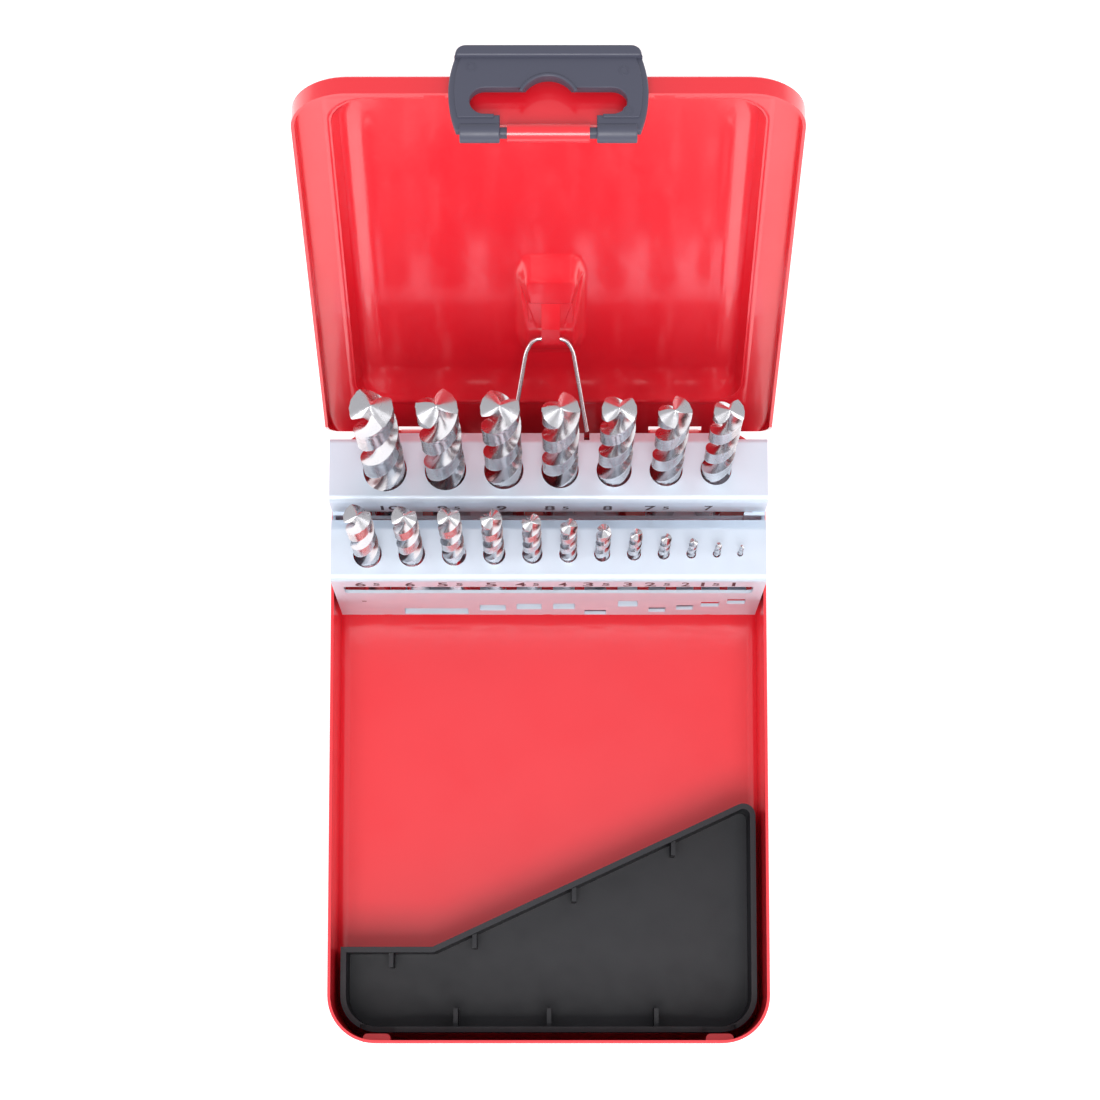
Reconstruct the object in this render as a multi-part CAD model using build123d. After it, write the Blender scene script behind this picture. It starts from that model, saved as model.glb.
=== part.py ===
from build123d import *
import os
from math import cos, radians, sin, tan

# Drill bit case: a red sheet-steel case for nineteen twist drills from 1 to
# 10 mm by halves.  Opening the lid stands the drill holder up.
#
# The origin is the centre of the base's underside: X right, Y from the front
# to the back, Z up.  Lengths are millimetres and angles degrees.  The case is
# drawn open.  Three local frames are used, each with X to the right:
#   "from the back"  u: distance from the back wall towards the front
#   lid              Y from the hinge line to the free end, Z into the case
#   holder           Y to the back, Z up along the drills, origin on the pivot

# --- sheet and clearances ---------------------------------------------------
sheet = 0.7                     # drawn steel of the base and the lid
holder_sheet = 0.8              # galvanised steel of the two drill holders
slip_gap = 0.2                  # lid skirt round the base, each side
running_gap = 0.05              # radial, at every pivot that turns
seat_gap = 0.35                 # lid border above the base rim when shut
rest_gap = 0.3                  # between a piece and what it stands on
hole_gap = 0.17                 # radial, drill hole round the drill
wire_gap = 0.15                 # link wire inside its strap and notches

# --- base -------------------------------------------------------------------
case_width = 106.8
case_length = 150.0
case_height = 34.6              # rim above the underside
corner_radius = 11.5            # upright corners
foot_radius = 3.0               # wall into floor
foot_bevel = 1.8                # underside's edge
lug_centres = (-42.0, 41.8)     # pressed lugs inside the front wall
lug_width = 6.8
lug_depth = 1.7
lug_low = 15.6
lug_high = 22.6

# --- lid --------------------------------------------------------------------
lid_lean = 19.6                 # open lid leans this far back from upright
skirt_depth = 5.0
lid_border = 7.7                # flat border round the raised panel
lid_panel_start = 17.0          # panel from the hinge line
lid_panel_rise = 3.3
lid_panel_slope = 32.0          # panel wall from the upright
lid_panel_corner = 8.5
lid_edge_bevel = 0.8
hinge_in = 1.5                  # hinge line in front of the back wall's face
hinge_bar = 0.6                 # radius of the lid's rolled back edge
hinge_bar_half = 46.4
hinge_slots = (-30.4, 31.0)     # centres along X
hinge_slot_width = 13.0
hinge_slot_end = 5.0            # slot's far edge from the hinge line
hinge_tongue_play = 0.5         # slot wider than the tongue, each side
corner_cut = 2.6                # lid corners start here
skirt_full = 12.0               # skirt has its full depth from here

# --- link strap on the lid ----------------------------------------------------
strap_centre = 0.5
strap_width = 4.3
strap_low = 44.4                # feet, from the hinge line
strap_high = 61.5
pad_half_width = 7.5
pad_low = 39.5
pad_high = 72.0
pad_rise = 2.9                  # pad pressed back inwards from the panel

# --- latch --------------------------------------------------------------------
latch_drop = 15.5               # latch axis below the lid's sheet
latch_reach = 19.6              # axis to the hook's foot
latch_half_top = 18.4           # half widths: at the axis, the waist, the hook
latch_half_waist = 20.7
latch_half_hook = 17.7
latch_waist = 8.5
latch_plate = 2.0
latch_bevel = 0.8               # along the bowed sides
latch_inset = 1.65              # plate's inner face behind the axis
latch_pin = 1.2                 # radius
latch_tube_width = 17.0
latch_tab_half = 17.5           # tab of the lid's skirt behind the latch
latch_tab_end = 12.6            # its free edge below the lid's sheet
latch_journal = 1.5
latch_knuckle = 2.1             # radius
latch_turn = 176.0
hook_tip = 0.5                  # thickness of the hook's edge
hook_root = 3.0                 # height of the hook's slope
hook_bite = 1.35                # hook under the base's rounded edge
hang_slot_width = 32.6
hang_slot_height = 6.3
hang_slot_centre = 6.6          # from the latch axis
hang_bump_radius = 5.6
hang_bump_rise = 2.6

# --- drill holder -------------------------------------------------------------
holder_side_gap = 0.8           # between the holder and the base's side walls
holder_lean = 2.0               # open holder leans back
pivot_u = 28.3
pivot_z = 16.5
rear_row = 10.54                # rear drill row behind the pivot
rear_shelf = 52.44              # strip above the pivot
rear_crease = 17.3              # back lip's crease behind the pivot
rear_face = 2.84                # rear plate's front face behind the pivot
rear_foot = 14.2                # rear plate's lower edge below the pivot
front_row = 8.03                # front drill row before the pivot
front_shelf = 43.76
front_crease = 2.03             # crease of the front strip's back lip
front_face = 14.6               # front plate's face before the pivot
front_foot = 7.6
front_roll = 3.0                # rolled lower edge of the front plate
front_corner = 4.2              # lower corners are cut this far in
front_corner_rise = 2.8
foot_notches = (-40.4, -0.4, 39.9)      # shallow arches in the lower edge
foot_notch_width = 4.6
foot_notch_height = 3.2
bend = 1.6                      # outside radius of the bends
lip_depth = 2.2
lip_fall = 1.0
lip_step = 44.6                 # lip is shallower outside this half width
lip_step_depth = 0.7
window_side = 2.6               # plate left beside a window
rear_window_drop = 12.0         # strip to the window's upper edge
rear_window = 9.0
front_window_drop = 8.2
front_window = 8.8
tongue_reach = 9.2
flange_rear = 17.0              # rear holder's flanges behind the pivot
flange_low = 6.0                # rear flanges start above the pivot
tab_width = 5.0                 # front holder's tabs on the rear plate
tab_low = 9.0
tab_high = 40.0
rivet_radius = 1.5
rivet_head = 2.8
rivet_head_height = 0.8
holder_swing = 92.0             # a quarter turn and the lean

# --- tray ---------------------------------------------------------------------
tray_wall = 1.35
tray_height = 18.0
tray_side_gap = 1.5
tray_front = 147.2              # u of the front wall's outer face
tray_back = 126.4               # u of the back wall's outer face at the left
tray_back_right = 89.4          # and at the right
tray_bend_x = -28.6
tray_corner = 9.0
tray_notch = 8.4
tray_notch_depth = 3.0
tray_rib = 1.1
tray_back_ribs = (-39.0, -18.4, 6.3, 31.0)
tray_front_ribs = (-23.0, 0.1, 26.6)

# --- wire link ----------------------------------------------------------------
wire_radius = 0.5
link_station = 47.5             # bar along the lid from the hinge line
link_height = 1.3               # bar inwards from the lid's sheet
link_bar_half = 3.7
link_foot_half = 8.8
link_length = 23.5
link_fall = 33.5                # link points this far below the level, lid open
link_swing = 150.0              # link turns this far in the strap as the lid shuts

# --- drills -------------------------------------------------------------------
drill_length = {
    1: 34, 1.5: 40, 2: 49, 2.5: 57, 3: 61, 3.5: 70, 4: 75, 4.5: 80, 5: 86, 5.5: 93,
    6: 93, 6.5: 101, 7: 109, 7.5: 109, 8: 117, 8.5: 117, 9: 125, 9.5: 125, 10: 133,
}
rear_sizes = (10, 9.5, 9, 8.5, 8, 7.5, 7)
front_sizes = (6.5, 6, 5.5, 5, 4.5, 4, 3.5, 3, 2.5, 2, 1.5, 1)
rear_margins = (8.2, 8.8)               # strip beside the outermost drills, left and right
front_margins = (5.5, 5.8)
drill_foot = {
    10: -13.1, 9.5: -5.2, 9: -5.2, 8.5: 0.9, 8: 0.9, 7.5: 6.6, 7: 6.6,
    6.5: -10.6, 6: -3.0, 5.5: -3.0, 5: 2.0, 4.5: 3.7, 4: 4.0, 3.5: 3.2,
    3: 7.8, 2.5: 7.0, 2: 10.3, 1.5: 15.0, 1: 19.0,
}
rear_tongues = {9.5: (-4.1, 18.3), 8.5: (-3.9, 16.4), 7.5: (-3.7, 14.9)}
front_tongues = {                       # left and right ends from a drill's axis
    6: (-3.4, 12.5), 5: (-4.2, 2.3), 4.5: (-4.1, 2.1), 4: (-3.6, 1.8), 3.5: (-3.8, 1.6),
    3: (-3.2, 1.7), 2.5: (-2.5, 1.7), 2: (-2.3, 1.9), 1.5: (-2.4, 2.1), 1: (-1.7, 2.8),
}
hung_tongues = (3.5, 2.5, 2, 1.5, 1)    # bent in from the slot's upper edge
tongue_slot = 8.0                       # height of a standing tongue's slot
hung_slot = 6.4
deep_tongue = (-2.9, 3.1)               # rear plate's tongue under the 6.5 mm drill
point_angle = 118.0

# --- derived places -------------------------------------------------------------
half_width = case_width / 2
back_y = case_length / 2
front_y = -case_length / 2
lid_half_width = half_width + slip_gap + sheet
lid_corner = corner_radius + slip_gap + sheet
hinge_y = back_y - hinge_in
hinge_z = case_height + seat_gap + sheet / 2
lid_front = case_length + slip_gap + sheet - hinge_in
hinge_bore = hinge_bar + running_gap
latch_axis = lid_front + latch_pin + running_gap
pivot_y = back_y - pivot_u
holder_width = case_width - 2 * (sheet + holder_side_gap)
flange_x = holder_width / 2
tray_half_width = half_width - sheet - tray_side_gap
lid_swing = 90 + lid_lean


def lid_place():
    """Frame of the open lid."""
    return Pos(0, hinge_y, hinge_z) * Rot(X=90 - lid_lean)


def holder_place():
    """Frame of the open drill holder."""
    return Pos(0, pivot_y, pivot_z) * Rot(X=-holder_lean)


def row_places(sizes, margins):
    """Places of a row's drills along X, with an even web between neighbouring holes."""
    web = (holder_width - sum(margins) - sum(sizes)) / (len(sizes) - 1)
    places = {}
    edge = -holder_width / 2 + margins[0]
    for size in sizes:
        places[size] = edge + size / 2
        edge = edge + size + web
    return places


rear_drills = row_places(rear_sizes, rear_margins)
front_drills = row_places(front_sizes, front_margins)


def block(x, y, z):
    """Box between three pairs of limits."""
    centre = ((x[0] + x[1]) / 2, (y[0] + y[1]) / 2, (z[0] + z[1]) / 2)
    return Pos(*centre) * Box(abs(x[1] - x[0]), abs(y[1] - y[0]), abs(z[1] - z[0]))


def rod(radius, x, y, z):
    """Round bar along X between two limits."""
    return Pos((x[0] + x[1]) / 2, y, z) * Rot(Y=90) * Cylinder(radius, abs(x[1] - x[0]))


def side_face(points):
    """Face in the plane X = 0 from (Y, Z) corners."""
    return make_face(Polyline(*[(0, y, z) for y, z in points], close=True))


def along_x(face, x):
    """Side face pulled out between two X limits."""
    return Pos(x[0], 0, 0) * extrude(face, amount=x[1] - x[0], dir=(1, 0, 0))


def bent_strip(points, radius, thickness, x):
    """Sheet of one thickness along a bent middle line of (Y, Z) points, pulled along X."""
    line = FilletPolyline(*points, radius=radius)
    face = Plane.YZ * trace(line, line_width=thickness)
    return along_x(face, x)


def round_box(half, near, far, radius, low, high):
    """Upright-cornered block: half width, two Y limits, corner radius, two Z limits."""
    plan = Pos(0, (near + far) / 2) * RectangleRounded(2 * half, far - near, radius)
    return Pos(0, 0, low) * extrude(plan, amount=high - low)


# --- base -----------------------------------------------------------------------
def hinge_tongues():
    """Two tongues of the back wall curled forwards over the lid's back edge."""
    tongues = []
    for centre in hinge_slots:
        half = hinge_slot_width / 2 - hinge_tongue_play
        x = (centre - half, centre + half)
        curl = rod(hinge_bore + sheet, x, hinge_y, hinge_z)
        bore = rod(hinge_bore, x, hinge_y, hinge_z)
        under = block(x, (hinge_y - 3, hinge_y), (hinge_z - 3, hinge_z - hinge_bore * 0.8))
        stem = block(x, (back_y - sheet, back_y), (case_height - 1, hinge_z))
        tongues.append(curl - bore - under + (stem - bore))
    return tongues


def front_lugs():
    """Lugs pressed into the case from the front wall, over the tray's notches."""
    lugs = []
    for centre in lug_centres:
        x = (centre - lug_width / 2, centre + lug_width / 2)
        y = (front_y + sheet / 2, front_y + sheet + lug_depth)
        lug = block(x, y, (lug_low, lug_high))
        lugs.append(fillet(lug.edges().filter_by(Axis.Z).group_by(Axis.Y)[-1], 1.2))
    return lugs


def base_shell():
    """Drawn tray of sheet with the hinge tongues and the pivot holes."""
    outer = round_box(half_width, front_y, back_y, corner_radius, 0, case_height)
    outer = chamfer(outer.faces().sort_by(Axis.Z)[0].edges(), foot_bevel)
    inner = round_box(
        half_width - sheet, front_y + sheet, back_y - sheet, corner_radius - sheet,
        sheet, case_height + 1,
    )
    inner = fillet(inner.faces().sort_by(Axis.Z)[0].edges(), foot_radius - sheet)
    shell = outer - inner
    for piece in hinge_tongues() + front_lugs():
        shell = shell + piece
    x = (-half_width - 1, half_width + 1)
    return shell - rod(rivet_radius + running_gap, x, pivot_y, pivot_z)


# --- lid ------------------------------------------------------------------------
def lid_plate():
    """Border, skirts and raised panel of the lid in the lid's frame."""
    face = -sheet / 2
    near = corner_cut - 6
    outer = round_box(lid_half_width, near, lid_front, lid_corner, face, face + skirt_depth)
    outer = chamfer(outer.faces().sort_by(Axis.Z)[0].edges(), lid_edge_bevel)
    inner = round_box(
        lid_half_width - sheet, near + sheet, lid_front - sheet, lid_corner - sheet,
        face + sheet, face + skirt_depth + 1,
    )
    shell = outer - inner
    panel_half = lid_half_width - lid_border
    plan = Pos(0, (lid_panel_start + lid_front - lid_border) / 2) * RectangleRounded(
        2 * panel_half, lid_front - lid_border - lid_panel_start, lid_panel_corner
    )
    shrink = sheet * (1 / cos(radians(lid_panel_slope)) - tan(radians(lid_panel_slope)))
    raised = extrude(plan, amount=-lid_panel_rise, taper=lid_panel_slope)
    hollow_plan = offset(plan, amount=-shrink)
    hollow = extrude(hollow_plan, amount=-lid_panel_rise, taper=lid_panel_slope)
    shell = shell + Pos(0, 0, face) * raised
    shell = shell - Pos(0, 0, face + sheet) * hollow
    shell = shell - Pos(0, 0, face + sheet) * extrude(hollow_plan, amount=sheet)
    for slot in lid_hinge_slots():
        shell = shell - slot
    return shell


def lid_hinge_slots():
    """Openings in the lid's back edge that the base's tongues reach through."""
    half = hinge_slot_width / 2
    return [
        block((centre - half, centre + half), (-1, hinge_slot_end), (-sheet, sheet))
        for centre in hinge_slots
    ]


def lid_back_edge():
    """Tongue of border behind the panel, ending in the bar the hinge curls round."""
    border = block(
        (-hinge_bar_half, hinge_bar_half), (0, corner_cut + 3), (-sheet / 2, sheet / 2)
    )
    for slot in lid_hinge_slots():
        border = border - slot
    return border + rod(hinge_bar, (-hinge_bar_half, hinge_bar_half), 0, 0)


def skirt_relief():
    """What is taken off the lid's back corners so that they pass the base."""
    depth = skirt_depth + 1
    slope = (skirt_full - corner_cut) / (skirt_depth - sheet)
    corner = side_face([
        (corner_cut - 9, -1), (corner_cut, -1), (corner_cut, sheet / 2),
        (corner_cut + slope * (depth - sheet / 2), depth), (corner_cut - 9, depth),
    ])
    return along_x(corner, (-lid_half_width - 1, lid_half_width + 1))


def link_strap():
    """Arched strap that holds the link's bar against the lid."""
    middle = link_height + wire_radius + wire_gap + sheet / 2
    foot = -lid_panel_rise + pad_rise
    points = [
        (strap_low - 1.4, foot), (strap_low, foot), (strap_low + 2.3, middle),
        (strap_high - 8.0, middle), (strap_high, foot), (strap_high + 1.4, foot),
    ]
    x = (strap_centre - strap_width / 2, strap_centre + strap_width / 2)
    return bent_strip(points, 0.8, sheet, x)


def link_pad():
    """Pad pressed back inwards in the lid's panel to carry the strap."""
    length = pad_high - pad_low
    plan = Pos(strap_centre, (pad_low + pad_high) / 2) * RectangleRounded(
        2 * pad_half_width, length, 3.5
    )
    floor = -sheet / 2 - lid_panel_rise
    taper = 40.0
    shrink = sheet * (1 / cos(radians(taper)) - tan(radians(taper)))
    solid = Pos(0, 0, floor + sheet) * extrude(plan, amount=pad_rise, taper=taper)
    hollow = Pos(0, 0, floor) * extrude(offset(plan, -shrink), amount=pad_rise, taper=taper)
    return solid, hollow


def lid_latch_tube():
    """Tab of the front skirt with its middle rolled outwards round the latch's pin."""
    x = (-latch_tube_width / 2, latch_tube_width / 2)
    y = (lid_front - sheet, lid_front)
    bore = latch_pin + running_gap
    tab = block((-latch_tab_half, latch_tab_half), y, (skirt_depth - 2, latch_tab_end))
    tongue = block(x, y, (skirt_depth - 2, latch_drop))
    curl = rod(bore + sheet, x, latch_axis, latch_drop)
    return (tab + tongue + curl) - rod(bore, x, latch_axis, latch_drop)


def lid_shell():
    """Whole lid, standing open."""
    lid = lid_plate() - skirt_relief()
    lid = lid + lid_back_edge()
    pad, hollow = link_pad()
    lid = lid + pad - hollow
    x = (strap_centre - strap_width / 2, strap_centre + strap_width / 2)
    lid = lid - block(x, (strap_low + 1, strap_high - 1), (-lid_panel_rise - 1, 1))
    lid = lid + link_strap() + lid_latch_tube()
    return lid_place() * lid


# --- latch ----------------------------------------------------------------------
def latch_outline():
    """Latch seen from the front, hanging down from its axis."""
    right = ThreePointArc(
        (latch_half_top, 0), (latch_half_waist, latch_waist), (latch_half_hook, latch_reach)
    )
    left = ThreePointArc(
        (-latch_half_hook, latch_reach), (-latch_half_waist, latch_waist), (-latch_half_top, 0)
    )
    foot = Line(right @ 1, left @ 0)
    top = Line(left @ 1, right @ 0)
    return make_face([right, foot, left, top])


def latch_clip():
    """Moulded latch with its own pin, hanging slot and hook."""
    plate = Plane.XZ * latch_outline()
    plate = extrude(plate, amount=latch_plate, dir=(0, 1, 0))
    plate = Pos(0, latch_axis - latch_inset, latch_drop) * plate
    edges = plate.edges().filter_by(GeomType.CIRCLE).group_by(Axis.Y)[-1]
    plate = chamfer(edges, latch_bevel)
    clear = latch_tube_width / 2 + latch_journal
    opening = block((-clear, clear), (0, 2 * latch_axis), (latch_drop - 9, latch_drop + 4.5))
    latch = plate - opening
    for side in (-1, 1):
        x = (side * clear, side * (latch_half_top - 0.4))
        latch = latch + rod(latch_knuckle, x, latch_axis, latch_drop)
    latch = latch + rod(latch_pin, (-clear - 1, clear + 1), latch_axis, latch_drop)
    slot_z = latch_drop + hang_slot_centre
    slot = Pos(0, slot_z) * SlotOverall(hang_slot_width, hang_slot_height)
    bump_z = slot_z + hang_slot_height / 2 + hang_bump_rise - hang_bump_radius
    slot = slot + Pos(0, bump_z) * Circle(hang_bump_radius)
    slot = slot & Pos(0, slot_z + 5) * Rectangle(2 * hang_slot_width, hang_slot_height + 10)
    cutter = extrude(Plane.XZ * slot, amount=3 * latch_plate, both=True)
    latch = latch - Pos(0, latch_axis, 0) * cutter
    foot = latch_drop + latch_reach
    nose = side_face([
        (latch_axis - latch_inset + 0.4, foot - hook_root),
        (latch_axis - latch_inset, foot - hook_root),
        (latch_axis - latch_inset, foot - hook_tip - 1.2),
        (latch_axis - latch_inset - hook_bite, foot - hook_tip),
        (latch_axis - latch_inset - hook_bite, foot),
        (latch_axis - latch_inset + 0.4, foot),
    ])
    half = latch_half_hook - 1.2
    return latch + along_x(nose, (-half, half))


def open_latch():
    """Latch turned up over the front skirt of the open lid."""
    turn = Pos(0, latch_axis, latch_drop) * Rot(X=-latch_turn) * Pos(0, -latch_axis, -latch_drop)
    return lid_place() * turn * latch_clip()


# --- drill holder ---------------------------------------------------------------
def strip_profile(back, crease, face, top, foot):
    """Middle line of one holder: back lip, strip and plate, as (Y, Z) points."""
    half = holder_sheet / 2
    return [
        (crease + lip_depth * back, top - half - lip_fall), (crease, top - half),
        (face + half, top - half), (face + half, foot),
    ]


def holes(drills, row, top):
    """Round holes for one row of drills."""
    cutters = []
    for size, x in drills.items():
        radius = size / 2 + hole_gap
        cutters.append(Pos(x, row, top) * Cylinder(radius, 4 * holder_sheet))
    return cutters


def window(face, top, height):
    """Long window in a holder's plate."""
    half = flange_x - window_side
    y = (face - 1, face + holder_sheet + 1)
    cutter = block((-half, half), y, (top - height, top))
    return fillet(cutter.edges().filter_by(Axis.Y), 1.2)


def rear_holder():
    """Rear row: strip, plate, side flanges, foot flange and tongues."""
    half = holder_sheet / 2
    x = (-flange_x, flange_x)
    points = strip_profile(1, rear_crease, rear_face, rear_shelf, -rear_foot)
    foot_top = drill_foot[10] - rest_gap
    points[-1] = (rear_face + half, foot_top - half)
    holder = bent_strip(points, bend - half, holder_sheet, x)
    for side in (-1, 1):
        outer = side * flange_x
        inner = side * (flange_x - holder_sheet)
        flange = side_face([
            (rear_face, rear_shelf - 14), (rear_face, flange_low), (rear_face + 5, flange_low),
            (flange_rear, flange_low + 18), (flange_rear, rear_shelf - 14),
        ])
        holder = holder + along_x(flange, (min(outer, inner), max(outer, inner)))
    holder = holder + block(
        (rear_drills[10] - 6.5, rear_drills[10] + 6.5), (rear_face, rear_row + 6.0),
        (foot_top - holder_sheet, foot_top),
    )
    for size, ends in rear_tongues.items():
        span = (rear_drills[size] + ends[0], rear_drills[size] + ends[1])
        level = drill_foot[size] - rest_gap
        y = (rear_face + half, rear_row + 5.0)
        holder = holder + block(span, y, (level - holder_sheet, level))
        hole = block(span, (rear_face - 1, rear_face + 2), (level, level + tongue_slot))
        holder = holder - hole
    level = drill_foot[6.5] - rest_gap
    span = (front_drills[6.5] + deep_tongue[0], front_drills[6.5] + deep_tongue[1])
    tongue = block(span, (-front_row - 1.8, rear_face + half), (level - holder_sheet, level))
    hole = block(span, (rear_face - 1, rear_face + 2), (level, level + tongue_slot))
    holder = holder + tongue - hole
    holder = holder - window(rear_face, rear_shelf - rear_window_drop, rear_window)
    for cutter in holes(rear_drills, rear_row, rear_shelf):
        holder = holder - cutter
    for side in (-1, 1):
        corner = block(
            (side * lip_step, side * (flange_x + 1)),
            (rear_crease + lip_step_depth, rear_crease + 5), (rear_shelf - 4, rear_shelf + 1),
        )
        holder = holder - corner
        notch_x = side * link_foot_half + strap_centre / 2
        reach = wire_radius + wire_gap
        notch = block(
            (notch_x - reach, notch_x + reach), (rear_crease + 0.5, rear_crease + 5),
            (rear_shelf - 4, rear_shelf + 1),
        )
        holder = holder - notch
    return holder_place() * holder


def front_holder():
    """Front row: strip, plate with a rolled foot, side flanges, tabs and tongues."""
    half = holder_sheet / 2
    x = (-flange_x, flange_x)
    back = -front_crease
    face = -front_face
    points = strip_profile(1, back, face, front_shelf, -front_foot + half)
    points[-1] = (face + half, -front_foot + half)
    points.append((face + front_roll + 0.6, -front_foot + half))
    line = FilletPolyline(*points[:4], radius=bend - half)
    profile = Plane.YZ * trace(line, line_width=holder_sheet)
    holder = along_x(profile, x)
    roll = Pos(0, face + front_roll, -front_foot + front_roll) * Rot(Y=90) * (
        Cylinder(front_roll, holder_width) - Cylinder(front_roll - holder_sheet, holder_width)
    )
    keep = block(x, (face - 1, face + front_roll), (-front_foot - 1, -front_foot + front_roll))
    above = block(x, (face - 1, face + 2), (-front_foot - 2, -front_foot + front_roll))
    holder = holder - above + (roll & keep)
    for side in (-1, 1):
        outer = side * flange_x
        inner = side * (flange_x - holder_sheet)
        flange = side_face([
            (face + 0.2, -front_foot + front_roll), (face + 0.2, front_shelf - 2),
            (-rear_face - 1 + 2, front_shelf - 2), (rear_face, front_shelf - 6),
            (rear_face, -2.6), (-2.0, -5.0),
        ])
        holder = holder + along_x(flange, (min(outer, inner), max(outer, inner)))
        tab = block(
            (side * (flange_x - tab_width), outer), (rear_face - holder_sheet, rear_face),
            (tab_low, tab_high),
        )
        holder = holder + tab
    for size, ends in front_tongues.items():
        span = (front_drills[size] + ends[0], front_drills[size] + ends[1])
        level = drill_foot[size] - rest_gap
        y = (face + half, face + tongue_reach)
        holder = holder + block(span, y, (level - holder_sheet, level))
        if size in hung_tongues:
            low, high = level - holder_sheet - hung_slot, level - holder_sheet
        else:
            low, high = level, level + tongue_slot
        hole = block(span, (face - 1, face + 2), (low, high))
        holder = holder - hole
    holder = holder - window(face, front_shelf - front_window_drop, front_window)
    for cutter in holes(front_drills, -front_row, front_shelf):
        holder = holder - cutter
    low = -front_foot - 1
    for side in (-1, 1):
        holder = holder - block(
            (side * (flange_x - front_corner), side * (flange_x + 1)), (face - 1, face + 9),
            (low, -front_foot + front_corner_rise),
        )
    for x in foot_notches:
        arch = Pos(x, face, -front_foot + foot_notch_height - foot_notch_width / 2)
        arch = arch * Rot(X=90) * Cylinder(foot_notch_width / 2, 12)
        lower = block(
            (x - foot_notch_width / 2, x + foot_notch_width / 2), (face - 1, face + 6),
            (low, -front_foot + foot_notch_height - foot_notch_width / 2),
        )
        holder = holder - arch - lower
    holder = holder - rod(rivet_radius, (-60, 60), 0, 0)
    return holder_place() * holder


def pivot_rivet(side):
    """Rivet that carries one end of the drill holder in the base's side wall."""
    inner = flange_x - holder_sheet
    outer = half_width + seat_gap
    shank = rod(rivet_radius, (inner, outer), 0, 0)
    inside = rod(rivet_head, (inner - rivet_head_height, inner), 0, 0)
    outside = rod(rivet_head, (outer, outer + rivet_head_height), 0, 0)
    outside = chamfer(outside.edges().group_by(Axis.X)[-1], 0.5)
    rivet = shank + inside + outside
    if side < 0:
        rivet = mirror(rivet, Plane.YZ)
    return Pos(0, pivot_y, pivot_z) * rivet


# --- tray -----------------------------------------------------------------------
def tray_plan():
    """Tray seen from above: square at the left, slanted along the back to the right."""
    back = back_y - tray_back
    back_right = back_y - tray_back_right
    front = back_y - tray_front
    corners = [
        (-tray_half_width, front), (tray_half_width, front), (tray_half_width, back_right),
        (tray_bend_x, back), (-tray_half_width, back),
    ]
    plan = make_face(Polyline(*corners, close=True))
    lower = plan.vertices().group_by(Axis.Y)[0]
    plan = fillet(lower, tray_corner)
    return fillet(plan.vertices().sort_by(Axis.Y)[-1], 3.0)


def tray_insert():
    """Open black tray in the front of the case."""
    low = sheet + rest_gap
    plan = tray_plan()
    outer = Pos(0, 0, low) * extrude(plan, amount=tray_height)
    outer = chamfer(outer.faces().sort_by(Axis.Z)[0].edges(), 1.0)
    hollow = Pos(0, 0, low + tray_wall) * extrude(offset(plan, -tray_wall), amount=tray_height)
    tray = outer - hollow
    front = back_y - tray_front
    top = low + tray_height
    for centre in lug_centres:
        x = (centre - tray_notch / 2, centre + tray_notch / 2)
        tray = tray - block(x, (front - 1, front + tray_wall + 0.5), (top - tray_notch_depth, top + 1))
    for x in tray_front_ribs:
        rib = block(
            (x - tray_rib / 2, x + tray_rib / 2), (front + 0.5, front + tray_wall + 4.5), (low + 0.5, top - 5)
        )
        tray = tray + rib
    slope = (tray_back_right - tray_back) / (tray_half_width - tray_bend_x)
    for x in tray_back_ribs:
        back = back_y - tray_back - slope * max(0, x - tray_bend_x)
        rib = block(
            (x - tray_rib / 2, x + tray_rib / 2), (back - tray_wall - 3.5, back - 1.2), (low + 0.5, top - 5)
        )
        tray = tray + rib
    return tray


# --- wire link ------------------------------------------------------------------
def wire_link():
    """Bent wire from the lid's strap to the back lip of the rear row."""
    bar = lid_place() * Pos(strap_centre / 2, link_station, link_height)
    start = bar.position
    fall = radians(link_fall)
    reach = link_length
    toe_y = start.Y - reach * cos(fall)
    toe_z = start.Z - reach * sin(fall)
    knee_y = start.Y - 3.0 * cos(fall)
    knee_z = start.Z - 3.0 * sin(fall)
    x = start.X
    points = [
        (x - link_foot_half, toe_y, toe_z), (x - link_bar_half - 1.8, knee_y, knee_z),
        (x - link_bar_half, start.Y, start.Z), (x + link_bar_half, start.Y, start.Z),
        (x + link_bar_half + 1.8, knee_y, knee_z), (x + link_foot_half, toe_y, toe_z),
    ]
    path = Polyline(*points)
    section = Plane(origin=path @ 0, z_dir=path % 0) * Circle(wire_radius)
    return sweep(section, path=path, transition=Transition.RIGHT)


# --- drills ---------------------------------------------------------------------
def twist_drill(size):
    """One drill standing on Z = 0: a revolved bar with its ground point."""
    radius = size / 2
    length = drill_length[size]
    point = radius / tan(radians(point_angle / 2))
    outline = Plane.XZ * Polyline(
        (0, 0), (radius, 0), (radius, length - point), (0, length), close=True
    )
    return revolve(make_face(outline), Axis.Z)


def drill(size):
    """One drill standing in its hole."""
    if size in rear_drills:
        place = Pos(rear_drills[size], rear_row, drill_foot[size])
    else:
        place = Pos(front_drills[size], -front_row, drill_foot[size])
    return holder_place() * place * twist_drill(size)


def node_name(size):
    """File name of one drill: drill_7, drill_7_5."""
    return "drill_" + str(size).replace(".", "_")


os.makedirs("parts", exist_ok=True)
pieces = {
    "base_shell": base_shell(),
    "lid_shell": lid_shell(),
    "latch_clip": open_latch(),
    "rear_holder": rear_holder(),
    "front_holder": front_holder(),
    "pivot_rivet_left": pivot_rivet(-1),
    "pivot_rivet_right": pivot_rivet(1),
    "tray_insert": tray_insert(),
    "wire_link": wire_link(),
}
for size in drill_length:
    pieces[node_name(size)] = drill(size)
for name, piece in pieces.items():
    print(name, piece.is_valid, round(piece.volume, 1), len(piece.solids()))
    export_step(piece, "parts/" + name + ".step")
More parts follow.
